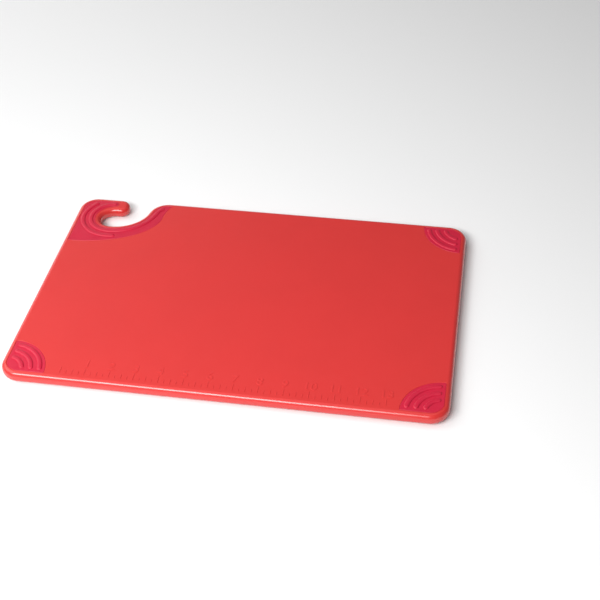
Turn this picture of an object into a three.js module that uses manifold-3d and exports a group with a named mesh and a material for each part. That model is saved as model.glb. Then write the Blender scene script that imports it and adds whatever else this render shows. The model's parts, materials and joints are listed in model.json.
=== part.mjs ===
// Hook-handled cutting board with four soft grips set into its corners.
// Millimetres. +X along the length, +Y towards the hook side, +Z up.
// The origin is under the board's centre, in the plane that the lower grip ridges rest on.

import * as THREE from 'three';
import { mergeVertices } from 'three/addons/utils/BufferGeometryUtils.js';
import Module from 'manifold-3d';

// ---------------------------------------------------------------- driving sizes

// plate
const BOARD_LENGTH = 457.2;
const BOARD_WIDTH = 304.8;
const BOARD_THICKNESS = 12.7;
const CORNER_RADIUS = 20.5;
const EDGE_RADIUS = 5.4;
const EDGE_FLAT = 1.0;            // least upright flat between the two edge rounds

// hook, cut into the rear left corner
const FINGER_WIDTH = 21.4;        // from the rear edge to the notch
const FINGER_STRAIGHT = 2.7;      // straight part of the finger's inner side
const PILLAR_WIDTH = 30.6;        // from the left side to the notch
const NOTCH_WIDTH = 29.0;
const NOTCH_STRAIGHT = 2.3;       // straight part of the notch floor
const TOE_RADIUS = 37.5;          // hollow curve that rises from the notch floor
const SHOULDER_RADIUS = 23.0;     // round curve that leads into the rear edge

// soft grips
const GRIP_LAND = 0.5;            // flat strip of plate between an edge round and a pocket
const GRIP_GAP = 0.3;             // clearance between a grip and the plate, all round
const GRIP_DEPTH = 2.4;           // how deep each face of a grip sits in the plate
const CORNER_GRIP_REACH = 42.4;   // from a grip's outer corner to its curved side
const HOOK_GRIP_DROP = 34.0;      // from the notch floor down to the grip's lower end
const HOOK_NOSE_SETBACK = 3.9;    // from the notch's centre back to the centre of the nose
const HOOK_TAIL_LENGTH = 22.0;
const HOOK_TAIL_WIDTH = 13.4;
const HOOK_TAIL_LEAN = 6.5;       // how far the tail's tip leans away from the hook

// raised ridges on the grips
const RIDGE_WIDTH = 5.2;
const RIDGE_HEIGHT = 1.0;
const RIDGE_CREST = 1.2;          // flat strip along the top of a ridge
const CORNER_RIDGES = 3;
const CORNER_RIDGE_SPACING = 9.2;
const CORNER_RIDGE_INSET = 5.6;   // from a corner grip's curved side to its outer ridge
const CORNER_RIDGE_END = 3.2;     // from a ridge's end to the straight side of its grip
const HOOK_RIDGE_INSET = 4.8;     // from the hook grip's inner side to its inner ridge
const HOOK_RIDGE_OUTSET = 4.2;    // from the hook grip's left side to its outer ridge
const HOOK_RIDGE_REAR = 2.2;      // least distance from a ridge's side to the hook grip's rear line
const INNER_RIDGE_END = 128;      // degrees about the shoulder's centre
const OUTER_RIDGE_START = 137;    // degrees about the notch's centre
const OUTER_RIDGE_END = -83;      // degrees about the toe's centre

// plugs that tie the two faces of a grip together through the plate
const PLUG_RADIUS = 3.2;
const CORNER_PLUG_DISTANCE = 24.0;
const CORNER_PLUG_ANGLES = [18, 45, 72];
const NOTCH_PLUG_ANGLES = [160, 205, 250];
const TOE_PLUG_ANGLES = [-78, -46, -14];

// how finely curves are cut
const ARC_STEPS = 6;                // an arc is cut into twice as many chords
const PLUG_STEPS = 16;
const ROUND_STEPS = 3;

// ---------------------------------------------------------------- sizes that follow

const radians = THREE.MathUtils.degToRad;
const QUARTER = Math.PI / 2;

const leftSide = -BOARD_LENGTH / 2;
const rearSide = BOARD_WIDTH / 2;
const plateBottom = RIDGE_HEIGHT;
const plateTop = plateBottom + BOARD_THICKNESS;
const plateMiddle = (plateBottom + plateTop) / 2;

const edgeRound = Math.min(EDGE_RADIUS, (BOARD_THICKNESS - EDGE_FLAT) / 2);
const gripMargin = edgeRound + GRIP_LAND + GRIP_GAP;
const gripLeft = leftSide + gripMargin;
const gripRear = rearSide - gripMargin;
const gripCorner = CORNER_RADIUS - gripMargin;

// The notch wall is three arcs, each tangent to the next: its round end, the toe and the shoulder.
const notchFloor = rearSide - FINGER_WIDTH - NOTCH_WIDTH;
const notch = {
  x: leftSide + PILLAR_WIDTH + NOTCH_WIDTH / 2,
  y: notchFloor + NOTCH_WIDTH / 2,
  r: NOTCH_WIDTH / 2,
};
const toeAndShoulder = TOE_RADIUS + SHOULDER_RADIUS;
const rampTurn = Math.acos(1 - (rearSide - notchFloor) / toeAndShoulder);
const toe = {
  x: notch.x + NOTCH_STRAIGHT,
  y: notchFloor + TOE_RADIUS,
  r: TOE_RADIUS,
};
const shoulder = {
  x: toe.x + toeAndShoulder * Math.sin(rampTurn),
  y: rearSide - SHOULDER_RADIUS,
  r: SHOULDER_RADIUS,
};
const toeEnd = rampTurn - QUARTER;
const shoulderStart = rampTurn + QUARTER;

// Both ridges of the hook grip run at an even distance from the notch wall.
const innerRidgeOffset = gripMargin + HOOK_RIDGE_INSET;
const outerRidgeOffset = PILLAR_WIDTH - gripMargin - HOOK_RIDGE_OUTSET;

// ---------------------------------------------------------------- materials

const boardPlastic = new THREE.MeshStandardMaterial({
  name: 'board_plastic',
  color: 0xdb4240,
  roughness: 0.42,
  metalness: 0,
});
const gripRubber = new THREE.MeshStandardMaterial({
  name: 'grip_rubber',
  color: 0xca2f48,
  roughness: 0.6,
  metalness: 0,
});

// ---------------------------------------------------------------- solids

const manifold = await Module();
manifold.setup();

function toSolid(geometry) {
  const bare = geometry.clone();
  bare.deleteAttribute('normal');
  bare.deleteAttribute('uv');
  const merged = mergeVertices(bare);
  return new manifold.Manifold(new manifold.Mesh({
    numProp: 3,
    vertProperties: Float32Array.from(merged.attributes.position.array),
    triVerts: Uint32Array.from(merged.index.array),
  }));
}

function toGeometry(solid) {
  const mesh = solid.getMesh();
  const geometry = new THREE.BufferGeometry();
  geometry.setAttribute('position', new THREE.BufferAttribute(mesh.vertProperties, 3));
  geometry.setIndex(new THREE.BufferAttribute(mesh.triVerts, 1));
  geometry.computeVertexNormals();
  return geometry;
}

function join(solids) {
  return solids.reduce((whole, solid) => whole.add(solid));
}

function cut(solid, cutters) {
  return cutters.reduce((rest, cutter) => rest.subtract(cutter), solid);
}

function slab(outline, bottom, top) {
  const geometry = new THREE.ExtrudeGeometry(outline, {
    depth: top - bottom,
    bevelEnabled: false,
    curveSegments: ARC_STEPS,
  });
  return geometry.translate(0, 0, bottom);
}

// An outline with both its rims rounded: `across` in from the outline, `up` in height.
function roundedSlab(outline, bottom, top, across, up) {
  const geometry = new THREE.ExtrudeGeometry(outline, {
    depth: top - bottom - 2 * up,
    bevelThickness: up,
    bevelSize: across,
    bevelOffset: -across,
    bevelSegments: ROUND_STEPS,
    curveSegments: ARC_STEPS,
  });
  return geometry.translate(0, 0, bottom + up);
}

function pin(place, radius) {
  const height = BOARD_THICKNESS - GRIP_DEPTH;
  const geometry = new THREE.CylinderGeometry(radius, radius, height, PLUG_STEPS);
  return geometry.rotateX(QUARTER).translate(place.x, place.y, plateMiddle);
}

function pointOn(arc, angle) {
  return { x: arc.x + arc.r * Math.cos(angle), y: arc.y + arc.r * Math.sin(angle) };
}

// ---------------------------------------------------------------- outlines

// Arcs bring their own straight lines to the point where the one before them ended.
function boardOutline() {
  const left = leftSide + CORNER_RADIUS;
  const right = -left;
  const rear = rearSide - CORNER_RADIUS;
  const front = -rear;
  const tipRadius = FINGER_WIDTH / 2;
  const outline = new THREE.Shape();
  outline.absarc(left, front, CORNER_RADIUS, Math.PI, 3 * QUARTER, false);
  outline.absarc(right, front, CORNER_RADIUS, -QUARTER, 0, false);
  outline.absarc(right, rear, CORNER_RADIUS, 0, QUARTER, false);
  outline.absarc(shoulder.x, shoulder.y, shoulder.r, QUARTER, shoulderStart, false);
  outline.absarc(toe.x, toe.y, toe.r, toeEnd, -QUARTER, true);
  outline.absarc(notch.x, notch.y, notch.r, 3 * QUARTER, QUARTER, true);
  outline.absarc(notch.x + FINGER_STRAIGHT, rearSide - tipRadius, tipRadius, -QUARTER, QUARTER, false);
  outline.absarc(left, rear, CORNER_RADIUS, QUARTER, Math.PI, false);
  outline.closePath();
  return outline;
}

// A quarter disc about the grip's own outer corner, which is the origin here; the board lies
// towards +X and +Y. The same outline, grown by the clearance, is the pocket's.
function cornerGripOutline(grow) {
  const reach = CORNER_GRIP_REACH + grow;
  const outline = new THREE.Shape();
  outline.absarc(gripCorner, gripCorner, gripCorner + grow, Math.PI, 3 * QUARTER, false);
  outline.lineTo(reach, -grow);
  outline.absarc(0, 0, reach, 0, QUARTER, false);
  outline.lineTo(-grow, reach);
  outline.closePath();
  return outline;
}

// The hook grip's nose is a circle that touches the grip's inner curve and its rear line.
function hookNose(grow) {
  const inner = notch.r + gripMargin - grow;
  const rear = gripRear + grow - notch.y;
  const radius = (HOOK_NOSE_SETBACK ** 2 + rear ** 2 - inner ** 2) / (2 * (rear + inner));
  const x = notch.x - HOOK_NOSE_SETBACK;
  const y = notch.y + rear - radius;
  return { x, y, r: radius, bearing: Math.atan2(y - notch.y, x - notch.x) };
}

// It follows the notch wall from the finger round into the tail; a quarter ellipse closes it below.
function hookGripOutline(grow) {
  const left = gripLeft - grow;
  const rear = gripRear + grow;
  const bottom = notchFloor - HOOK_GRIP_DROP - grow;
  const inset = gripMargin - grow;
  const corner = gripCorner + grow;
  const nose = hookNose(grow);
  const tailSide = shoulder.x - shoulder.r + gripMargin + HOOK_TAIL_WIDTH + grow;
  const tailFoot = gripRear - HOOK_TAIL_LENGTH;
  const tailHeight = rear - tailFoot;
  const tailRadius = (tailHeight ** 2 + HOOK_TAIL_LEAN ** 2) / (2 * HOOK_TAIL_LEAN);
  const tailTip = Math.PI - Math.asin(tailHeight / tailRadius);
  const outline = new THREE.Shape();
  outline.absellipse(left, tailFoot, tailSide - left, tailFoot - bottom, -QUARTER, 0, false);
  outline.absarc(tailSide + tailRadius, tailFoot, tailRadius, Math.PI, tailTip, true);
  outline.absarc(shoulder.x, shoulder.y, shoulder.r - inset, QUARTER, shoulderStart, false);
  outline.absarc(toe.x, toe.y, toe.r + inset, toeEnd, -QUARTER, true);
  outline.absarc(notch.x, notch.y, notch.r + inset, 3 * QUARTER, nose.bearing, true);
  outline.absarc(nose.x, nose.y, nose.r, nose.bearing - Math.PI, QUARTER, false);
  outline.absarc(left + corner, rear - corner, corner, QUARTER, Math.PI, false);
  outline.closePath();
  return outline;
}

// A ridge runs along a chain of arcs and has round ends. `turn` is 1 for an arc that is run
// anticlockwise and -1 for one that is run clockwise.
function ridgeOutline(arcs) {
  const half = RIDGE_WIDTH / 2;
  const first = arcs[0];
  const last = arcs[arcs.length - 1];
  const start = pointOn(first, first.from);
  const end = pointOn(last, last.to);
  const endSide = last.turn > 0 ? last.to : last.to + Math.PI;
  const startSide = first.turn > 0 ? first.from + Math.PI : first.from;
  const outline = new THREE.Shape();
  for (const arc of arcs) {
    outline.absarc(arc.x, arc.y, arc.r + arc.turn * half, arc.from, arc.to, arc.turn < 0);
  }
  outline.absarc(end.x, end.y, half, endSide, endSide + Math.PI, false);
  for (const arc of [...arcs].reverse()) {
    outline.absarc(arc.x, arc.y, arc.r - arc.turn * half, arc.to, arc.from, arc.turn > 0);
  }
  outline.absarc(start.x, start.y, half, startSide, startSide + Math.PI, false);
  outline.closePath();
  return outline;
}

function cornerRidgeOutlines() {
  const outlines = [];
  for (let i = 0; i < CORNER_RIDGES; i += 1) {
    const r = CORNER_GRIP_REACH - CORNER_RIDGE_INSET - i * CORNER_RIDGE_SPACING;
    const from = Math.asin((CORNER_RIDGE_END + RIDGE_WIDTH / 2) / r);
    outlines.push(ridgeOutline([{ x: 0, y: 0, r, from, to: QUARTER - from, turn: 1 }]));
  }
  return outlines;
}

// The bearing from the notch's centre at which a ridge starts: `wanted`, or further round where
// the ridge would otherwise come too near the grip's rear line.
function ridgeStart(offset, wanted) {
  const side = notch.r + offset + RIDGE_WIDTH / 2;
  const room = gripRear - HOOK_RIDGE_REAR - notch.y;
  return Math.max(wanted, Math.PI - Math.asin(Math.min(1, room / side)));
}

function hookRidgeOutlines() {
  const inner = innerRidgeOffset;
  const outer = outerRidgeOffset;
  const innerStart = ridgeStart(inner, hookNose(0).bearing);
  const outerStart = ridgeStart(outer, radians(OUTER_RIDGE_START));
  const innerRidge = [
    { ...notch, r: notch.r + inner, from: innerStart, to: 3 * QUARTER, turn: 1 },
    { ...toe, r: toe.r + inner, from: -QUARTER, to: toeEnd, turn: 1 },
    { ...shoulder, r: shoulder.r - inner, from: shoulderStart, to: radians(INNER_RIDGE_END), turn: -1 },
  ];
  const outerRidge = [
    { ...notch, r: notch.r + outer, from: outerStart, to: 3 * QUARTER, turn: 1 },
    { ...toe, r: toe.r + outer, from: -QUARTER, to: radians(OUTER_RIDGE_END), turn: 1 },
  ];
  return [ridgeOutline(innerRidge), ridgeOutline(outerRidge)];
}

// ---------------------------------------------------------------- plug places

function cornerPlugs() {
  const arc = { x: 0, y: 0, r: CORNER_PLUG_DISTANCE };
  return CORNER_PLUG_ANGLES.map((angle) => pointOn(arc, radians(angle)));
}

function hookPlugs() {
  const betweenRidges = (innerRidgeOffset + outerRidgeOffset) / 2;
  const aroundNotch = { ...notch, r: notch.r + betweenRidges };
  const aroundToe = { ...toe, r: toe.r + innerRidgeOffset };
  return [
    ...NOTCH_PLUG_ANGLES.map((angle) => pointOn(aroundNotch, radians(angle))),
    ...TOE_PLUG_ANGLES.map((angle) => pointOn(aroundToe, radians(angle))),
  ];
}

// ---------------------------------------------------------------- pieces

// One grip: a pad in each face of the plate, ridges on both pads, and plugs between them.
function gripGeometry(outline, ridges, plugs) {
  const upper = slab(outline, plateTop - GRIP_DEPTH, plateTop);
  const lower = slab(outline, plateBottom, plateBottom + GRIP_DEPTH);
  const pieces = [upper, lower];
  const sunk = (GRIP_DEPTH + RIDGE_HEIGHT) / 2;
  const side = (RIDGE_WIDTH - RIDGE_CREST) / 2;
  for (const ridge of ridges) {
    const crest = plateTop + RIDGE_HEIGHT;
    pieces.push(roundedSlab(ridge, plateTop - sunk, crest, side, RIDGE_HEIGHT));
    pieces.push(roundedSlab(ridge, 0, plateBottom + sunk, side, RIDGE_HEIGHT));
  }
  for (const place of plugs) {
    pieces.push(pin(place, PLUG_RADIUS));
  }
  return toGeometry(join(pieces.map(toSolid)));
}

// What one grip takes out of the plate: a pocket in each face, and holes for the plugs.
function gripCutters(outline, plugs) {
  const floor = GRIP_DEPTH + GRIP_GAP;
  const beyond = RIDGE_HEIGHT;
  const upper = slab(outline, plateTop - floor, plateTop + beyond);
  const lower = slab(outline, plateBottom - beyond, plateBottom + floor);
  const holes = plugs.map((place) => pin(place, PLUG_RADIUS + GRIP_GAP));
  return [upper, lower, ...holes];
}

// The corner grips are alike, each turned to face its own corner.
const cornerPlaces = [
  { name: 'front_left_grip', x: gripLeft, y: -gripRear, turn: 0 },
  { name: 'front_right_grip', x: -gripLeft, y: -gripRear, turn: QUARTER },
  { name: 'rear_right_grip', x: -gripLeft, y: gripRear, turn: 2 * QUARTER },
];

function boardBody() {
  const plate = roundedSlab(boardOutline(), plateBottom, plateTop, edgeRound, edgeRound);
  const cutters = gripCutters(hookGripOutline(GRIP_GAP), hookPlugs());
  for (const place of cornerPlaces) {
    for (const cutter of gripCutters(cornerGripOutline(GRIP_GAP), cornerPlugs())) {
      cutters.push(cutter.rotateZ(place.turn).translate(place.x, place.y, 0));
    }
  }
  const body = cut(toSolid(plate), cutters.map(toSolid));
  const mesh = new THREE.Mesh(toGeometry(body), boardPlastic);
  mesh.name = 'board_body';
  return mesh;
}

function hookGrip() {
  const geometry = gripGeometry(hookGripOutline(0), hookRidgeOutlines(), hookPlugs());
  const mesh = new THREE.Mesh(geometry, gripRubber);
  mesh.name = 'hook_grip';
  return mesh;
}

function cornerGrips() {
  const geometry = gripGeometry(cornerGripOutline(0), cornerRidgeOutlines(), cornerPlugs());
  return cornerPlaces.map((place) => {
    const mesh = new THREE.Mesh(geometry, gripRubber);
    mesh.name = place.name;
    mesh.position.set(place.x, place.y, 0);
    mesh.rotation.z = place.turn;
    return mesh;
  });
}

const cuttingBoard = new THREE.Group();
cuttingBoard.name = 'cutting_board';
cuttingBoard.add(boardBody(), hookGrip(), ...cornerGrips());

export default cuttingBoard;
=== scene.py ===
"""Hook-handled cutting board: the moulded plate, its ruler and its four soft grips.

Metres. +X along the length, +Y towards the hook side, +Z up. Each face of the board is made
from rings of points, measured from the middle of the plate's thickness.
"""

import json
import math
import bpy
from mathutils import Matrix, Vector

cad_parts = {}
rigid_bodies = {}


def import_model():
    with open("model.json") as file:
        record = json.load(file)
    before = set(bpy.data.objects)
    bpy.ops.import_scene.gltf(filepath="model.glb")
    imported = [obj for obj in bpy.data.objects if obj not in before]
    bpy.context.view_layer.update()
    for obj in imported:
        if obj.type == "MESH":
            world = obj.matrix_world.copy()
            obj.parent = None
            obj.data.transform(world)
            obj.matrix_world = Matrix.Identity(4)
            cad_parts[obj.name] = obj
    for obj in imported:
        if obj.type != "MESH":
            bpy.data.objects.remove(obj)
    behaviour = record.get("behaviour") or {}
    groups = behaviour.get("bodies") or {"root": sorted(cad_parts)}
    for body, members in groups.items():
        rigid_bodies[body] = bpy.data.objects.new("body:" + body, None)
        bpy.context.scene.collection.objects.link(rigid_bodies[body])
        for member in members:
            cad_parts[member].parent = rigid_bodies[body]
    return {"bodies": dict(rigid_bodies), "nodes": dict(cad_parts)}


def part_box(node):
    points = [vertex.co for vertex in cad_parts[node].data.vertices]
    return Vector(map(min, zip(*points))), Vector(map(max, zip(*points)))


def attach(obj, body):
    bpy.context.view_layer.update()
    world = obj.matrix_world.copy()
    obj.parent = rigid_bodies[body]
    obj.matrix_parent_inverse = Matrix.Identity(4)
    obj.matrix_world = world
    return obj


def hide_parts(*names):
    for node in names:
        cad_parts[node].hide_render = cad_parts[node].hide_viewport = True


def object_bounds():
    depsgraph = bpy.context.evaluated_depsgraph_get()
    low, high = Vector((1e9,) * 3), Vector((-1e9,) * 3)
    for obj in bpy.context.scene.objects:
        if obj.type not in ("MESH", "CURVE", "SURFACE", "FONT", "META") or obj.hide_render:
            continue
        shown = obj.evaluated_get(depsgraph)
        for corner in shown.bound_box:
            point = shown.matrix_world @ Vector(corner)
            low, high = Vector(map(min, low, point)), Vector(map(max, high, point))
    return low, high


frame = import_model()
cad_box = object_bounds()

from types import SimpleNamespace

import bmesh
import bpy
from bpy.props import FloatProperty, FloatVectorProperty, IntProperty, PointerProperty
from mathutils import Matrix, Vector

bl_info = {
    "name": "Hook-handled cutting board",
    "version": (1, 0, 0),
    "blender": (4, 5, 0),
    "location": "3D View > Sidebar > Cutting board",
    "description": "Moulds a cutting board with a hook, a ruler and four soft grips",
    "category": "Add Mesh",
}

BODY = next(iter(frame["bodies"]))

QUARTER = math.pi / 2
UP, DOWN = 1, -1

# how finely curves are cut
ARC_STEP = math.radians(3)
FEWEST_ARC_STEPS = 4
ROUND_STEPS = 10
POCKET_ROUND_STEPS = 3
PAD_ROUND_STEPS = 4
RIDGE_STEPS = 10
RIDGE_END_STEPS = 14
PLUG_STEPS = 32
DIGIT_CURVE_STEPS = 6
DIGIT_BEVEL_STEPS = 2
SHARP_TURN = math.radians(25)
CREASE_ANGLE = math.radians(40)
SAME_PLACE = 1e-6
SUPPORT = 0.0001                # width of the flat strip that borders a flat face
EDGE_BLEND = 0.0005             # drop over which the satin face gives way to the polished edge

# bearings of the plugs, in degrees: about the notch's centre, the toe's, a grip's own corner
NOTCH_PLUGS = (160, 205, 250)
TOE_PLUGS = (-78, -46, -14)
CORNER_PLUGS = (18, 45, 72)

DIGIT_SIZE = 1.4                # size of the letter face for digits one unit high
TICK_SHARES = (1.0, 0.45, 0.7, 0.45)    # lengths of an inch's ticks, as shares of the longest
TICK_PROFILE = ((1, -1), (1, 0), (0.9, 0.6), (0.5, 1))  # shares of a tick's half width, relief

# soft boxes: name, bearing (0 is straight in front, + to the right) and elevation in degrees,
# distance and (width, height) in metres, power in watts
LAMPS = (
    ("front_softbox", -22, 42, 1.35, (1.1, 0.36), 21),
    ("left_softbox", -100, 44, 2.2, (1.8, 1.4), 17.5),
    ("rear_softbox", -140, 13, 1.7, (1.6, 0.5), 3.5),
    ("top_softbox", 180, 82, 1.5, (1.2, 1.2), 3),
)
SKY_STRENGTH = 0.2
FLOOR_REACH = 6
FLOOR_ROUGHNESS = 0.9
CAMERA_SENSOR = 36
CAMERA_SIGHT = (0.01, 100)      # nearest and farthest distance the camera sees

# how uneven the finishes are: shares by which colours drift, spreads of the roughness,
# sizes of the patches and heights of the bumps in metres
MELT_MOTTLE = 0.012
MELT_PATCH = 0.05
SATIN_SPREAD = 0.02
SATIN_PATCH = 0.012
GRAIN_PATCH = 0.0005
GRAIN_HEIGHT = 0.00003
SINK_PATCH = 0.03
SINK_HEIGHT = 0.00004
RUBBER_MOTTLE = 0.03
RUBBER_MOTTLE_PATCH = 0.02
RUBBER_SPREAD = 0.04
RUBBER_SPREAD_PATCH = 0.006
SAND_PATCH = 0.0004
SAND_HEIGHT = 0.00004

EDGE_SKIN = 0.4                 # strength of the glossy skin on the polished edges
PLASTIC_IOR = 1.54
RUBBER_IOR = 1.5

plate_low, plate_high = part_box("board_body")
hook_low, hook_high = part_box("hook_grip")
middle = (plate_low.z + plate_high.z) / 2
half_thickness = (plate_high.z - plate_low.z) / 2
ridge_height = hook_high.z - plate_high.z


def colour_field(name, description, default):
    return FloatVectorProperty(
        name=name, description=description, default=default, size=3, subtype="COLOR", min=0, max=1
    )


def length_field(name, description, default):
    return FloatProperty(
        name=name, description=description, default=default, min=0, unit="LENGTH", precision=5
    )


def angle_field(name, description, degrees):
    return FloatProperty(
        name=name, description=description, default=math.radians(degrees), subtype="ANGLE"
    )


def share_field(name, description, default):
    return FloatProperty(
        name=name, description=description, default=default, min=0, max=1, subtype="FACTOR"
    )


# ---------------------------------------------------------------- sizes and colours


class PlateSettings(bpy.types.PropertyGroup):
    corner_radius: length_field("Corner radius", "Round of the plate's corners", 0.0205)
    edge_radius: length_field("Edge radius", "Round between a face and the side", 0.0054)
    finger_width: length_field("Finger width", "From the rear edge to the notch", 0.0214)
    finger_straight: length_field("Finger straight", "Straight part of the finger", 0.0027)
    pillar_width: length_field("Pillar width", "From the left side to the notch", 0.0306)
    notch_width: length_field("Notch width", "Width of the notch inside the hook", 0.029)
    notch_straight: length_field("Notch straight", "Straight part of the notch floor", 0.0023)
    toe_radius: length_field("Toe radius", "Hollow curve that rises from the notch", 0.0375)
    shoulder_radius: length_field("Shoulder radius", "Round that meets the rear edge", 0.023)
    colour: colour_field("Plate colour", "Colour of the moulded plastic", (0.62, 0.027, 0.025))
    roughness: share_field("Face roughness", "Roughness of the satin faces", 0.42)
    edge_roughness: share_field("Edge roughness", "Roughness of the polished edges", 0.27)


class GripSettings(bpy.types.PropertyGroup):
    depth: length_field("Pad depth", "How deep a pad sits in the plate", 0.0024)
    clearance: length_field("Clearance", "Gap between a pad's wall and its pocket", 0.00002)
    growth: length_field("Growth", "How far a pad reaches past its solid", 0.00028)
    pad_round: length_field("Pad round", "Round along a pad's rim", 0.0005)
    pocket_round: length_field("Pocket round", "Round along a pocket's rim", 0.0004)
    tip_round: length_field("Tip round", "Round of a pad's pointed corners", 0.0012)
    nose_setback: length_field("Nose setback", "From the notch's centre to the nose", 0.0039)
    tail_length: length_field("Tail length", "Side of the tail along the shoulder", 0.022)
    tail_lean: length_field("Tail lean", "How far the tail's tip leans outwards", 0.0065)
    colour: colour_field("Grip colour", "Colour of the soft grips", (0.55, 0.007, 0.038))
    roughness: share_field("Grip roughness", "Roughness of the soft grips", 0.40)


class RidgeSettings(bpy.types.PropertyGroup):
    width: length_field("Ridge width", "Width of a ridge at its foot", 0.0052)
    crest: length_field("Ridge crest", "Width of the flat along a ridge's top", 0.0008)
    corner_ridges: IntProperty(
        name="Corner ridges", description="Ridges on each corner grip", default=3, min=1
    )
    corner_inset: length_field("Corner inset", "From the curved side to a ridge", 0.0056)
    corner_spacing: length_field("Corner spacing", "From one ridge to the next", 0.0092)
    corner_end: length_field("Corner end", "From a ridge's end to the straight side", 0.0032)
    hook_inset: length_field("Hook inset", "From the grip's inner side to a ridge", 0.0048)
    hook_outset: length_field("Hook outset", "From the grip's left side to a ridge", 0.0042)
    inner_end: angle_field("Inner ridge end", "Bearing from the shoulder's centre", 128)
    outer_start: angle_field("Outer ridge start", "Bearing from the notch's centre", 137)
    outer_end: angle_field("Outer ridge end", "Bearing from the toe's centre", -83)
    plug_radius: length_field("Plug radius", "Plugs that join a grip's two pads", 0.0032)
    corner_plug_reach: length_field("Plug reach", "From a grip's corner to its plugs", 0.024)


class RulerSettings(bpy.types.PropertyGroup):
    inch: length_field("Inch", "Distance from one number to the next", 0.0254)
    start: length_field("Start", "From the left side to the ruler's zero", 0.0646)
    numbers: IntProperty(name="Numbers", description="Last number", default=13, min=1)
    digit_height: length_field("Digit height", "Height of the numbers", 0.0104)
    digit_line: length_field("Digit line", "From the front edge to the numbers", 0.0246)
    tick_line: length_field("Tick line", "From the front edge to the ticks' feet", 0.0085)
    tick_length: length_field("Tick length", "Length of the longest ticks", 0.009)
    tick_width: length_field("Tick width", "Width of a tick", 0.0007)
    relief: length_field("Relief", "How far the marks stand above the plate", 0.0003)


class StageSettings(bpy.types.PropertyGroup):
    azimuth: angle_field("Azimuth", "How far round to the right the camera stands", 10.41)
    elevation: angle_field("Elevation", "How steeply the camera looks down", 40.916)
    roll: angle_field("Roll", "Lean of the camera about its own line of sight", -1.641)
    distance: length_field("Distance", "From the camera to the upper face", 1.2628)
    aim_right: length_field("Aim right", "From the board's centre to the aimed place", 0.0586)
    aim_forward: length_field("Aim forward", "From that place towards the front", 0.0001)
    lens: FloatProperty(
        name="Lens", description="Focal length in millimetres", default=70.62, min=10
    )
    floor_colour: colour_field("Floor colour", "Colour of the floor", (0.88, 0.88, 0.88))


SETTINGS = {
    "board_plate": PlateSettings,
    "board_grips": GripSettings,
    "board_ridges": RidgeSettings,
    "board_ruler": RulerSettings,
    "board_stage": StageSettings,
}


# ---------------------------------------------------------------- outlines


def arc(x, y, radius, start, end, flatten=1.0):
    """Points along an arc from one bearing to another; `flatten` makes it an ellipse's."""
    count = max(FEWEST_ARC_STEPS, round(abs(end - start) / ARC_STEP))
    bearings = [start + (end - start) * i / count for i in range(count + 1)]
    return [
        Vector((x + radius * math.cos(a), y + radius * flatten * math.sin(a))) for a in bearings
    ]


def circle(place, radius):
    bearings = [2 * math.pi * i / PLUG_STEPS for i in range(PLUG_STEPS)]
    return [place + radius * Vector((math.cos(a), math.sin(a))) for a in bearings]


def closed(points):
    """An outline without the points that repeat the one before them."""
    before = points[-1:] + points[:-1]
    return [p for p, last in zip(points, before) if (p - last).length > SAME_PLACE]


def headings(outline, i):
    """The directions in which an outline comes to its point i and leaves it."""
    here = outline[i]
    ahead = outline[(i + 1) % len(outline)]
    return (here - outline[i - 1]).normalized(), (ahead - here).normalized()


def softened(outline, radius):
    """The outline with its sharp corners rounded."""
    corners = {}
    for i in range(len(outline)):
        come, leave = headings(outline, i)
        turn = math.atan2(come.cross(leave), come.dot(leave))
        if turn > SHARP_TURN:
            corners[i] = (come, turn, radius * math.tan(turn / 2))
    points = []
    for i, point in enumerate(outline):
        if i in corners:
            come, turn, reach = corners[i]
            inward = Vector((-come.y, come.x))
            centre = point - come * reach + inward * radius
            start = math.atan2(-inward.y, -inward.x)
            points += arc(centre.x, centre.y, radius, start, start + turn)
        elif all((point - outline[k]).length > reach for k, (_, _, reach) in corners.items()):
            points.append(point)
    return closed(points)


def outset(outline, distance):
    """An anticlockwise outline moved outwards, or inwards by a negative distance."""
    moved = []
    for i, point in enumerate(outline):
        come, leave = headings(outline, i)
        outward = Vector((come.y + leave.y, -come.x - leave.x))
        moved.append(point + outward * (distance / (1 + come.dot(leave))))
    return moved


def stadium(line, half):
    """The outline at `half` from a line, with round ends."""
    def side_of(i):
        ahead = line[min(i + 1, len(line) - 1)] - line[max(i - 1, 0)]
        return Vector((-ahead.y, ahead.x)).normalized()

    def round_end(place, start):
        bearings = [start + math.pi * k / RIDGE_END_STEPS for k in range(1, RIDGE_END_STEPS)]
        return [place + half * Vector((math.cos(a), math.sin(a))) for a in bearings]

    sides = [side_of(i) for i in range(len(line))]
    right = [p - side * half for p, side in zip(line, sides)]
    left = [p + side * half for p, side in zip(line, sides)]
    far = round_end(line[-1], math.atan2(-sides[-1].y, -sides[-1].x))
    near = round_end(line[0], math.atan2(sides[0].y, sides[0].x))
    return right + far + left[::-1] + near


# ---------------------------------------------------------------- plan of the board


def hook_plan(plate, ridges):
    """Where the hook's arcs lie, and how far its ridges stand from the notch wall."""
    left, rear = plate_low.x, plate_high.y
    notch_floor = rear - plate.finger_width - plate.notch_width
    notch = SimpleNamespace(
        x=left + plate.pillar_width + plate.notch_width / 2,
        y=notch_floor + plate.notch_width / 2,
        r=plate.notch_width / 2,
    )
    reach = plate.toe_radius + plate.shoulder_radius
    ramp = math.acos(1 - (rear - notch_floor) / reach)
    toe = SimpleNamespace(
        x=notch.x + plate.notch_straight, y=notch_floor + plate.toe_radius, r=plate.toe_radius
    )
    shoulder = SimpleNamespace(
        x=toe.x + reach * math.sin(ramp), y=rear - plate.shoulder_radius, r=plate.shoulder_radius
    )
    margin = hook_low.x - left
    return SimpleNamespace(
        notch=notch,
        toe=toe,
        shoulder=shoulder,
        toe_end=ramp - QUARTER,
        shoulder_start=ramp + QUARTER,
        margin=margin,
        inner=margin + ridges.hook_inset,
        outer=plate.pillar_width - margin - ridges.hook_outset,
    )


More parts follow.
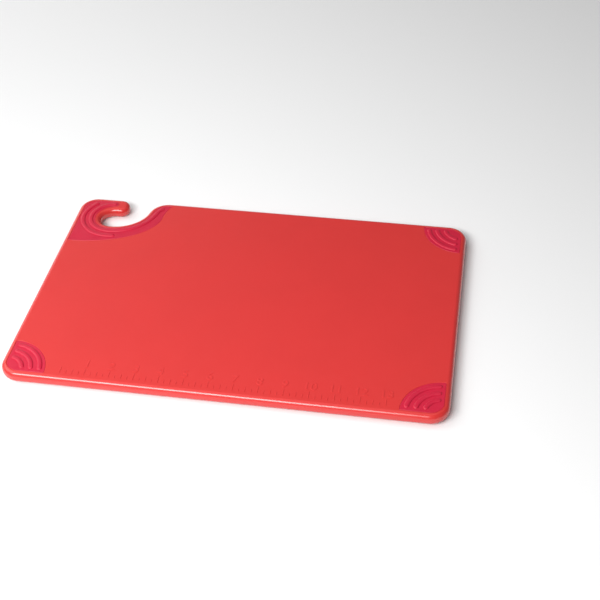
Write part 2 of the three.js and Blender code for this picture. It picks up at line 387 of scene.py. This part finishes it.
def plate_outline(plate, hook):
    left = plate_low.x + plate.corner_radius
    right = plate_high.x - plate.corner_radius
    front = plate_low.y + plate.corner_radius
    rear = plate_high.y - plate.corner_radius
    tip = plate.finger_width / 2
    r = plate.corner_radius
    notch, toe, shoulder = hook.notch, hook.toe, hook.shoulder
    return closed(
        arc(left, front, r, math.pi, 3 * QUARTER)
        + arc(right, front, r, -QUARTER, 0)
        + arc(right, rear, r, 0, QUARTER)
        + arc(shoulder.x, shoulder.y, shoulder.r, QUARTER, hook.shoulder_start)
        + arc(toe.x, toe.y, toe.r, hook.toe_end, -QUARTER)
        + arc(notch.x, notch.y, notch.r, 3 * QUARTER, QUARTER)
        + arc(notch.x + plate.finger_straight, plate_high.y - tip, tip, -QUARTER, QUARTER)
        + arc(left, rear, r, QUARTER, math.pi)
    )


def hook_nose(grips, hook):
    """The circle that touches the hook grip's inner curve and its rear line."""
    inner = hook.notch.r + hook.margin
    rear = hook_high.y - hook.notch.y
    radius = (grips.nose_setback**2 + rear**2 - inner**2) / (2 * (rear + inner))
    x = hook.notch.x - grips.nose_setback
    y = hook_high.y - radius
    bearing = math.atan2(y - hook.notch.y, x - hook.notch.x)
    return SimpleNamespace(x=x, y=y, r=radius, bearing=bearing)


def hook_outline(plate, grips, hook):
    left, rear, bottom = hook_low.x, hook_high.y, hook_low.y
    corner = plate.corner_radius - hook.margin
    nose = hook_nose(grips, hook)
    notch, toe, shoulder, margin = hook.notch, hook.toe, hook.shoulder, hook.margin
    tail_side = hook_high.x - grips.tail_lean
    tail_foot = rear - grips.tail_length
    tail_radius = (grips.tail_length**2 + grips.tail_lean**2) / (2 * grips.tail_lean)
    tail_tip = math.pi - math.asin(grips.tail_length / tail_radius)
    width = tail_side - left
    outline = closed(
        arc(left, tail_foot, width, -QUARTER, 0, flatten=(tail_foot - bottom) / width)
        + arc(tail_side + tail_radius, tail_foot, tail_radius, math.pi, tail_tip)
        + arc(shoulder.x, shoulder.y, shoulder.r - margin, QUARTER, hook.shoulder_start)
        + arc(toe.x, toe.y, toe.r + margin, hook.toe_end, -QUARTER)
        + arc(notch.x, notch.y, notch.r + margin, 3 * QUARTER, nose.bearing)
        + arc(nose.x, nose.y, nose.r, nose.bearing - math.pi, QUARTER)
        + arc(left + corner, rear - corner, corner, QUARTER, math.pi)
    )
    return softened(outline, grips.tip_round)


def hook_ridges(grips, ridges, hook):
    notch, toe, shoulder = hook.notch, hook.toe, hook.shoulder
    inner, outer = hook.inner, hook.outer
    inner_start = hook_nose(grips, hook).bearing
    return [
        closed(
            arc(notch.x, notch.y, notch.r + inner, inner_start, 3 * QUARTER)
            + arc(toe.x, toe.y, toe.r + inner, -QUARTER, hook.toe_end)
            + arc(shoulder.x, shoulder.y, shoulder.r - inner, hook.shoulder_start, ridges.inner_end)
        ),
        closed(
            arc(notch.x, notch.y, notch.r + outer, ridges.outer_start, 3 * QUARTER)
            + arc(toe.x, toe.y, toe.r + outer, -QUARTER, ridges.outer_end)
        ),
    ]


def hook_plugs(hook):
    between = hook.notch.r + (hook.inner + hook.outer) / 2
    along = hook.toe.r + hook.inner
    return [
        Vector((centre.x + reach * math.cos(a), centre.y + reach * math.sin(a)))
        for centre, reach, angles in (
            (hook.notch, between, NOTCH_PLUGS),
            (hook.toe, along, TOE_PLUGS),
        )
        for a in map(math.radians, angles)
    ]


def corner_plan(node, plate, grips, ridges, margin):
    """A corner grip: a quarter disc about its own outer corner, turned to face the board."""
    low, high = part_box(node)
    reach = high.x - low.x
    corner = plate.corner_radius - margin
    outline = arc(corner, corner, corner, math.pi, 3 * QUARTER) + arc(0, 0, reach, 0, QUARTER)
    lines = []
    for i in range(ridges.corner_ridges):
        radius = reach - ridges.corner_inset - i * ridges.corner_spacing
        start = math.asin((ridges.corner_end + ridges.width / 2) / radius)
        lines.append(arc(0, 0, radius, start, QUARTER - start))
    plugs = [
        ridges.corner_plug_reach * Vector((math.cos(a), math.sin(a)))
        for a in map(math.radians, CORNER_PLUGS)
    ]
    at_right, at_rear = low.x > 0, low.y > 0
    place = Vector((high.x if at_right else low.x, high.y if at_rear else low.y))
    turns = {(False, False): 0, (True, False): 1, (True, True): 2, (False, True): 3}
    turn = Matrix.Rotation(turns[at_right, at_rear] * QUARTER, 2)

    def placed(points):
        return [turn @ p + place for p in points]

    return SimpleNamespace(
        node=node,
        outline=placed(softened(closed(outline), grips.tip_round)),
        ridges=[placed(line) for line in lines],
        plugs=placed(plugs),
    )


def board_plan(scene):
    """The plate's outline and, for each grip, its outline, ridges and plugs."""
    plate, grips, ridges = scene.board_plate, scene.board_grips, scene.board_ridges
    hook = hook_plan(plate, ridges)
    corners = sorted(n for n in frame["nodes"] if n not in ("board_body", "hook_grip"))
    return SimpleNamespace(
        outline=plate_outline(plate, hook),
        hook=SimpleNamespace(
            node="hook_grip",
            outline=hook_outline(plate, grips, hook),
            ridges=hook_ridges(grips, ridges, hook),
            plugs=hook_plugs(hook),
        ),
        corners=[corner_plan(n, plate, grips, ridges, hook.margin) for n in corners],
    )


# ---------------------------------------------------------------- closed shells


class Shell:
    """A closed surface, made of rings of points and the faces between them."""

    def __init__(self):
        self.mesh = bmesh.new()

    def ring(self, outline, height):
        """A closed ring at a height above the plate's middle."""
        points = [self.mesh.verts.new((p.x, p.y, middle + height)) for p in outline]
        for i, point in enumerate(points):
            self.mesh.edges.new((points[i - 1], point))
        return points

    def wall(self, one, other):
        """A band of faces between two rings of as many points."""
        for i in range(len(one)):
            self.mesh.faces.new((one[i - 1], one[i], other[i], other[i - 1]))

    def walls(self, rings):
        for one, other in zip(rings, rings[1:]):
            self.wall(one, other)

    def flat(self, outer, holes=()):
        """A flat face inside a ring, around any holes."""
        edges = []
        for ring in (outer, *holes):
            edges += [self.mesh.edges.get((ring[i - 1], ring[i])) for i in range(len(ring))]
        bmesh.ops.triangle_fill(self.mesh, use_beauty=True, edges=edges)

    def into_mesh(self, name):
        """Makes the shell a mesh whose faces look outwards, or stops if it has a gap."""
        if any(not edge.is_manifold for edge in self.mesh.edges):
            raise RuntimeError(f"the surface of {name} isn't closed")
        bmesh.ops.recalc_face_normals(self.mesh, faces=self.mesh.faces)
        made = bpy.data.meshes.new(name)
        self.mesh.to_mesh(made)
        self.mesh.free()
        return made


def add_piece(name, made, material):
    made.shade_smooth()
    made.set_sharp_from_angle(angle=CREASE_ANGLE)
    made.materials.clear()
    made.materials.append(material)
    piece = bpy.data.objects.new(name, made)
    bpy.context.scene.collection.objects.link(piece)
    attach(piece, BODY)
    return piece


def quarter_round(radius, steps):
    """(across, up) along a quarter circle, from upright to flat."""
    turns = [QUARTER * i / steps for i in range(steps + 1)]
    return [(radius * (1 - math.cos(a)), radius * math.sin(a)) for a in turns]


# ---------------------------------------------------------------- plate


def plate_edge(shell, outline, radius, side):
    """Rings over the edge round, from the plate's side to the border of its flat face."""
    rise = half_thickness - radius
    rings = [
        shell.ring(outset(outline, -across), side * (rise + up))
        for across, up in quarter_round(radius, ROUND_STEPS)
    ]
    rings.append(shell.ring(outset(outline, -radius - SUPPORT), side * half_thickness))
    shell.walls(rings)
    return rings


def pocket(shell, grip, grips, side):
    """One pocket: its rim in the flat face, its wall, and its floor around the plug holes."""
    wall = grips.growth + grips.clearance
    rim = quarter_round(grips.pocket_round, POCKET_ROUND_STEPS)[::-1]
    rings = [shell.ring(outset(grip.outline, wall + rim[0][0] + SUPPORT), side * half_thickness)]
    for across, up in rim:
        height = half_thickness - grips.pocket_round + up
        rings.append(shell.ring(outset(grip.outline, wall + across), side * height))
    floor = side * (half_thickness - grips.depth - grips.clearance)
    rings.append(shell.ring(outset(grip.outline, wall), floor))
    shell.walls(rings)
    return rings, floor


def mould_plate(scene):
    plate, grips, ridges = scene.board_plate, scene.board_grips, scene.board_ridges
    plan = board_plan(scene)
    shell = Shell()
    sides, holes = {}, {}
    for side in (UP, DOWN):
        edge = plate_edge(shell, plan.outline, plate.edge_radius, side)
        rims = []
        holes[side] = []
        for grip in (plan.hook, *plan.corners):
            rings, floor = pocket(shell, grip, grips, side)
            hole_radius = ridges.plug_radius + grips.clearance
            bored = [shell.ring(circle(place, hole_radius), floor) for place in grip.plugs]
            shell.flat(rings[-1], bored)
            holes[side] += bored
            rims.append(rings[0])
        shell.flat(edge[-1], rims)
        sides[side] = edge[0]
    shell.wall(sides[UP], sides[DOWN])
    for upper, lower in zip(holes[UP], holes[DOWN]):
        shell.wall(upper, lower)
    plastic = shared("moulded_plastic", plate_plastic, plate)
    piece = add_piece("moulded_plate", shell.into_mesh("moulded_plate"), plastic)
    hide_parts("board_body")


# ---------------------------------------------------------------- grips


def ridge_profile(ridges):
    """(half width, height above the pad) from a ridge's steep foot over to its flat crest."""
    half, crest = ridges.width / 2, ridges.crest / 2
    profile = [(half + SUPPORT, 0)]
    for i in range(RIDGE_STEPS + 1):
        a = QUARTER * i / RIDGE_STEPS
        profile.append((crest + (half - crest) * math.cos(a), ridge_height * math.sin(a)))
    return profile


def raise_ridge(shell, line, ridges, side):
    rings = [
        shell.ring(stadium(line, half), side * (half_thickness + up))
        for half, up in ridge_profile(ridges)
    ]
    shell.walls(rings)
    shell.flat(rings[-1])
    return rings[0]


def mould_grip(grip, name, scene):
    """One grip: a pad in each face of the plate, its ridges, and the plugs between the pads."""
    grips, ridges = scene.board_grips, scene.board_ridges
    outline = outset(grip.outline, grips.growth)
    shell = Shell()
    plugs = {}
    for side in (UP, DOWN):
        floor = side * (half_thickness - grips.depth)
        rings = [shell.ring(outline, floor)]
        for across, up in quarter_round(grips.pad_round, PAD_ROUND_STEPS):
            height = half_thickness - grips.pad_round + up
            rings.append(shell.ring(outset(outline, -across), side * height))
        border = outset(outline, -grips.pad_round - SUPPORT)
        rings.append(shell.ring(border, side * half_thickness))
        shell.walls(rings)
        feet = [raise_ridge(shell, line, ridges, side) for line in grip.ridges]
        shell.flat(rings[-1], feet)
        plugs[side] = [shell.ring(circle(p, ridges.plug_radius), floor) for p in grip.plugs]
        shell.flat(rings[0], plugs[side])
    for upper, lower in zip(plugs[UP], plugs[DOWN]):
        shell.wall(upper, lower)
    rubber = shared("soft_elastomer", grip_rubber, grips)
    piece = add_piece(name, shell.into_mesh(name), rubber)
    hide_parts(grip.node)


# ---------------------------------------------------------------- ruler


def number_mesh(text, size, relief):
    """A raised number lying flat, centred on its own middle."""
    curve = bpy.data.curves.new("number", "FONT")
    curve.body = text
    curve.size = size
    curve.align_x = "CENTER"
    curve.align_y = "CENTER"
    curve.resolution_u = DIGIT_CURVE_STEPS
    curve.extrude = relief / 2
    curve.bevel_depth = relief / 2
    curve.bevel_resolution = DIGIT_BEVEL_STEPS
    holder = bpy.data.objects.new("number", curve)
    bpy.context.scene.collection.objects.link(holder)
    evaluated = holder.evaluated_get(bpy.context.evaluated_depsgraph_get())
    made = bpy.data.meshes.new_from_object(evaluated)
    bpy.data.objects.remove(holder)
    bpy.data.curves.remove(curve)
    return made


def add_numbers(marks, ruler, zero, front):
    for number in range(1, ruler.numbers + 1):
        digits = number_mesh(str(number), ruler.digit_height * DIGIT_SIZE, ruler.relief)
        place = Vector((zero + number * ruler.inch, front + ruler.digit_line, plate_high.z))
        digits.transform(Matrix.Translation(place))
        marks.from_mesh(digits)
        bpy.data.meshes.remove(digits)


def add_ticks(marks, ruler, zero, front):
    ticks = Shell()
    parts = len(TICK_SHARES)
    for i in range(parts * ruler.numbers + 1):
        x = zero + i * ruler.inch / parts
        foot = front + ruler.tick_line
        head = foot + ruler.tick_length * TICK_SHARES[i % parts]
        line = [Vector((x, foot)), Vector((x, head))]
        half = ruler.tick_width / 2
        rings = [
            ticks.ring(stadium(line, half * width), half_thickness + ruler.relief * up)
            for width, up in TICK_PROFILE
        ]
        ticks.walls(rings)
        ticks.flat(rings[0])
        ticks.flat(rings[-1])
    raised = ticks.into_mesh("ticks")
    marks.from_mesh(raised)
    bpy.data.meshes.remove(raised)


def emboss_ruler(scene):
    ruler = scene.board_ruler
    zero, front = plate_low.x + ruler.start, plate_low.y
    marks = bmesh.new()
    add_numbers(marks, ruler, zero, front)
    add_ticks(marks, ruler, zero, front)
    made = bpy.data.meshes.new("ruler_marks")
    marks.to_mesh(made)
    marks.free()
    plastic = shared("moulded_plastic", plate_plastic, scene.board_plate)
    add_piece("ruler_marks", made, plastic)


# ---------------------------------------------------------------- materials


class Finish:
    """A material under construction, laid out from left to right."""

    def __init__(self, name):
        self.material = bpy.data.materials.new(name)
        self.material.use_nodes = True
        self.nodes = self.material.node_tree.nodes
        self.links = self.material.node_tree.links
        self.shader = self.nodes["Principled BSDF"]
        self.place = self.add("ShaderNodeTexCoord").outputs["Object"]

    def add(self, kind, **values):
        node = self.nodes.new(kind)
        for name, value in values.items():
            setattr(node, name, value)
        return node

    def noise(self, size, detail=3.0, roughness=0.55):
        """Cloudy variation whose patches are about `size` across."""
        node = self.add("ShaderNodeTexNoise")
        node.inputs["Scale"].default_value = 1 / size
        node.inputs["Detail"].default_value = detail
        node.inputs["Roughness"].default_value = roughness
        self.links.new(self.place, node.inputs["Vector"])
        return node.outputs["Fac"]

    def remap(self, value, low, high, start=0.3, end=0.7):
        """`value` from start to end becomes low to high."""
        node = self.add("ShaderNodeMapRange")
        node.interpolation_type = "SMOOTHSTEP"
        node.inputs["From Min"].default_value = start
        node.inputs["From Max"].default_value = end
        node.inputs["To Min"].default_value = low
        node.inputs["To Max"].default_value = high
        self.links.new(value, node.inputs["Value"])
        return node.outputs["Result"]

    def blend(self, share, one, other):
        """A colour between two, by share."""
        node = self.add("ShaderNodeMix", data_type="RGBA")
        node.inputs["A"].default_value = (*one, 1)
        node.inputs["B"].default_value = (*other, 1)
        self.links.new(share, node.inputs["Factor"])
        return node.outputs["Result"]

    def between(self, share, one, other):
        """A number between the fixed `one` and the varying `other`, by share."""
        node = self.add("ShaderNodeMix", data_type="FLOAT")
        node.inputs["A"].default_value = one
        self.links.new(other, node.inputs["B"])
        self.links.new(share, node.inputs["Factor"])
        return node.outputs["Result"]

    def near_face(self):
        """1 on the plate's flat faces, falling to 0 a little way down its edge rounds."""
        split = self.add("ShaderNodeSeparateXYZ")
        self.links.new(self.place, split.inputs[0])
        offset = self.add("ShaderNodeMath", operation="SUBTRACT")
        offset.inputs[1].default_value = middle
        self.links.new(split.outputs["Z"], offset.inputs[0])
        size = self.add("ShaderNodeMath", operation="ABSOLUTE")
        self.links.new(offset.outputs[0], size.inputs[0])
        low = half_thickness - EDGE_BLEND
        return self.remap(size.outputs[0], 0, 1, start=low, end=half_thickness)

    def bump(self, value, height, strength=None, under=None):
        node = self.add("ShaderNodeBump")
        node.inputs["Distance"].default_value = height
        self.links.new(value, node.inputs["Height"])
        if strength:
            self.links.new(strength, node.inputs["Strength"])
        if under:
            self.links.new(under, node.inputs["Normal"])
        return node.outputs["Normal"]

    def feed(self, socket, value):
        self.links.new(value, self.shader.inputs[socket])

    def colour(self, base, mottle, patch):
        """Gives the shader a base colour that drifts a little darker and lighter."""
        share = self.remap(self.noise(patch), 0, 1)
        self.feed("Base Color", self.blend(share, shade(base, 1 - mottle), shade(base, 1 + mottle)))

    def uneven(self, roughness, spread, patch):
        """A roughness that varies by `spread` to either side."""
        return self.remap(self.noise(patch, detail=4), roughness - spread, roughness + spread)


def shade(colour, factor):
    return tuple(min(1, c * factor) for c in colour)


def plate_plastic(plate):
    """Satin moulded plastic: fine grain, faint mottle from the melt, polished edges."""
    finish = Finish("moulded_plastic")
    finish.colour(plate.colour, MELT_MOTTLE, MELT_PATCH)
    face = finish.near_face()
    satin = finish.uneven(plate.roughness, SATIN_SPREAD, SATIN_PATCH)
    finish.feed("Roughness", finish.between(face, plate.edge_roughness, satin))
    finish.feed("Coat Weight", finish.remap(face, EDGE_SKIN, 0, start=0, end=1))
    finish.shader.inputs["Coat Roughness"].default_value = plate.edge_roughness
    grain = finish.bump(finish.noise(GRAIN_PATCH, detail=2), GRAIN_HEIGHT, strength=face)
    sink = finish.bump(finish.noise(SINK_PATCH, detail=1), SINK_HEIGHT, under=grain)
    finish.feed("Normal", sink)
    finish.shader.inputs["IOR"].default_value = PLASTIC_IOR
    return finish.material


def grip_rubber(grips):
    """Soft matt elastomer with a fine sandy skin."""
    finish = Finish("soft_elastomer")
    finish.colour(grips.colour, RUBBER_MOTTLE, RUBBER_MOTTLE_PATCH)
    finish.feed("Roughness", finish.uneven(grips.roughness, RUBBER_SPREAD, RUBBER_SPREAD_PATCH))
    finish.feed("Normal", finish.bump(finish.noise(SAND_PATCH, detail=2), SAND_HEIGHT))
    finish.shader.inputs["IOR"].default_value = RUBBER_IOR
    return finish.material


def shared(name, make, settings):
    """The material of that name, made once and used by every piece that wears it."""
    return bpy.data.materials.get(name) or make(settings)


def floor_paint(colour):
    finish = Finish("floor_paint")
    finish.shader.inputs["Base Color"].default_value = (*colour, 1)
    finish.shader.inputs["Roughness"].default_value = FLOOR_ROUGHNESS
    finish.shader.inputs["Specular IOR Level"].default_value = 0.0
    return finish.material


# ---------------------------------------------------------------- stage


def lay_floor(stage):
    mesh = bmesh.new()
    bmesh.ops.create_grid(mesh, size=FLOOR_REACH)
    bmesh.ops.translate(mesh, vec=(0, 0, cad_box[0].z), verts=mesh.verts)
    made = bpy.data.meshes.new("floor")
    mesh.to_mesh(made)
    mesh.free()
    made.materials.append(floor_paint(stage.floor_colour))
    floor = bpy.data.objects.new("floor", made)
    bpy.context.scene.collection.objects.link(floor)


def hang_lamp(name, bearing, elevation, distance, size, power):
    """A soft box that looks at the board, and that the camera doesn't see."""
    light = bpy.data.lights.new(name, "AREA")
    light.shape = "RECTANGLE"
    light.size, light.size_y = size
    light.energy = power
    lamp = bpy.data.objects.new(name, light)
    a, e = math.radians(bearing), math.radians(elevation)
    away = Vector((math.sin(a) * math.cos(e), -math.cos(a) * math.cos(e), math.sin(e)))
    lamp.location = away * distance
    lamp.rotation_euler = away.to_track_quat("Z", "Y").to_euler()
    lamp.visible_camera = False
    bpy.context.scene.collection.objects.link(lamp)


def stand_camera(stage):
    azimuth, elevation = stage.azimuth, stage.elevation
    ahead = Vector(
        (
            -math.sin(azimuth) * math.cos(elevation),
            math.cos(azimuth) * math.cos(elevation),
            -math.sin(elevation),
        )
    )
    right = ahead.cross(Vector((0, 0, 1))).normalized()
    right = Matrix.Rotation(-stage.roll, 3, ahead) @ right
    above = right.cross(ahead)
    data = bpy.data.cameras.new("camera")
    data.lens = stage.lens
    data.sensor_width = CAMERA_SENSOR
    data.clip_start, data.clip_end = CAMERA_SIGHT
    camera = bpy.data.objects.new("camera", data)
    aim = Vector((stage.aim_right, -stage.aim_forward, plate_high.z))
    rotation = Matrix((right, above, -ahead)).transposed()
    camera.matrix_world = Matrix.Translation(aim - ahead * stage.distance) @ rotation.to_4x4()
    bpy.context.scene.collection.objects.link(camera)
    bpy.context.scene.camera = camera


def set_stage(scene):
    stage = scene.board_stage
    lay_floor(stage)
    for lamp in LAMPS:
        hang_lamp(*lamp)
    world = bpy.data.worlds.new("studio")
    world.use_nodes = True
    sky = world.node_tree.nodes["Background"]
    sky.inputs["Color"].default_value = (1, 1, 1, 1)
    sky.inputs["Strength"].default_value = SKY_STRENGTH
    scene.world = world
    scene.view_settings.view_transform = "Standard"
    stand_camera(stage)


# ---------------------------------------------------------------- operators and panel


class CUTTING_BOARD_OT_plate(bpy.types.Operator):
    """Moulds the plate with its hook, edge rounds and pockets"""

    bl_idname = "cutting_board.plate"
    bl_label = "Mould the plate"

    def execute(self, context):
        mould_plate(context.scene)
        return {"FINISHED"}


class CUTTING_BOARD_OT_ruler(bpy.types.Operator):
    """Embosses the ruler's numbers and ticks along the front edge"""

    bl_idname = "cutting_board.ruler"
    bl_label = "Emboss the ruler"

    def execute(self, context):
        emboss_ruler(context.scene)
        return {"FINISHED"}


class CUTTING_BOARD_OT_hook_grip(bpy.types.Operator):
    """Moulds the soft grip on the hook"""

    bl_idname = "cutting_board.hook_grip"
    bl_label = "Mould the hook grip"

    def execute(self, context):
        mould_grip(board_plan(context.scene).hook, "hook_soft_grip", context.scene)
        return {"FINISHED"}


class CUTTING_BOARD_OT_corner_grips(bpy.types.Operator):
    """Moulds the three soft corner grips"""

    bl_idname = "cutting_board.corner_grips"
    bl_label = "Mould the corner grips"

    def execute(self, context):
        for grip in board_plan(context.scene).corners:
            name = grip.node.replace("_grip", "_soft_grip")
            mould_grip(grip, name, context.scene)
        return {"FINISHED"}


class CUTTING_BOARD_OT_stage(bpy.types.Operator):
    """Sets the floor, the soft boxes and the camera"""

    bl_idname = "cutting_board.stage"
    bl_label = "Set the stage"

    def execute(self, context):
        set_stage(context.scene)
        return {"FINISHED"}


OPERATORS = (
    CUTTING_BOARD_OT_stage,
    CUTTING_BOARD_OT_plate,
    CUTTING_BOARD_OT_ruler,
    CUTTING_BOARD_OT_hook_grip,
    CUTTING_BOARD_OT_corner_grips,
)


class CUTTING_BOARD_PT_panel(bpy.types.Panel):
    """Sizes, colours and steps of the cutting board"""

    bl_idname = "CUTTING_BOARD_PT_panel"
    bl_label = "Cutting board"
    bl_space_type = "VIEW_3D"
    bl_region_type = "UI"
    bl_category = "Cutting board"

    def draw(self, context):
        for operator in OPERATORS:
            self.layout.operator(operator.bl_idname)
        for group, kind in SETTINGS.items():
            box = self.layout.box()
            for field in kind.__annotations__:
                box.prop(getattr(context.scene, group), field)


def register():
    for kind in (*SETTINGS.values(), *OPERATORS, CUTTING_BOARD_PT_panel):
        bpy.utils.register_class(kind)
    for group, kind in SETTINGS.items():
        setattr(bpy.types.Scene, group, PointerProperty(type=kind))


def unregister():
    for group in SETTINGS:
        delattr(bpy.types.Scene, group)
    for kind in (CUTTING_BOARD_PT_panel, *reversed(OPERATORS), *reversed(SETTINGS.values())):
        bpy.utils.unregister_class(kind)


def main():
    register()
    bpy.ops.cutting_board.stage()
    bpy.ops.cutting_board.plate()
    bpy.ops.cutting_board.ruler()
    bpy.ops.cutting_board.hook_grip()
    bpy.ops.cutting_board.corner_grips()


if __name__ == "__main__":
    main()
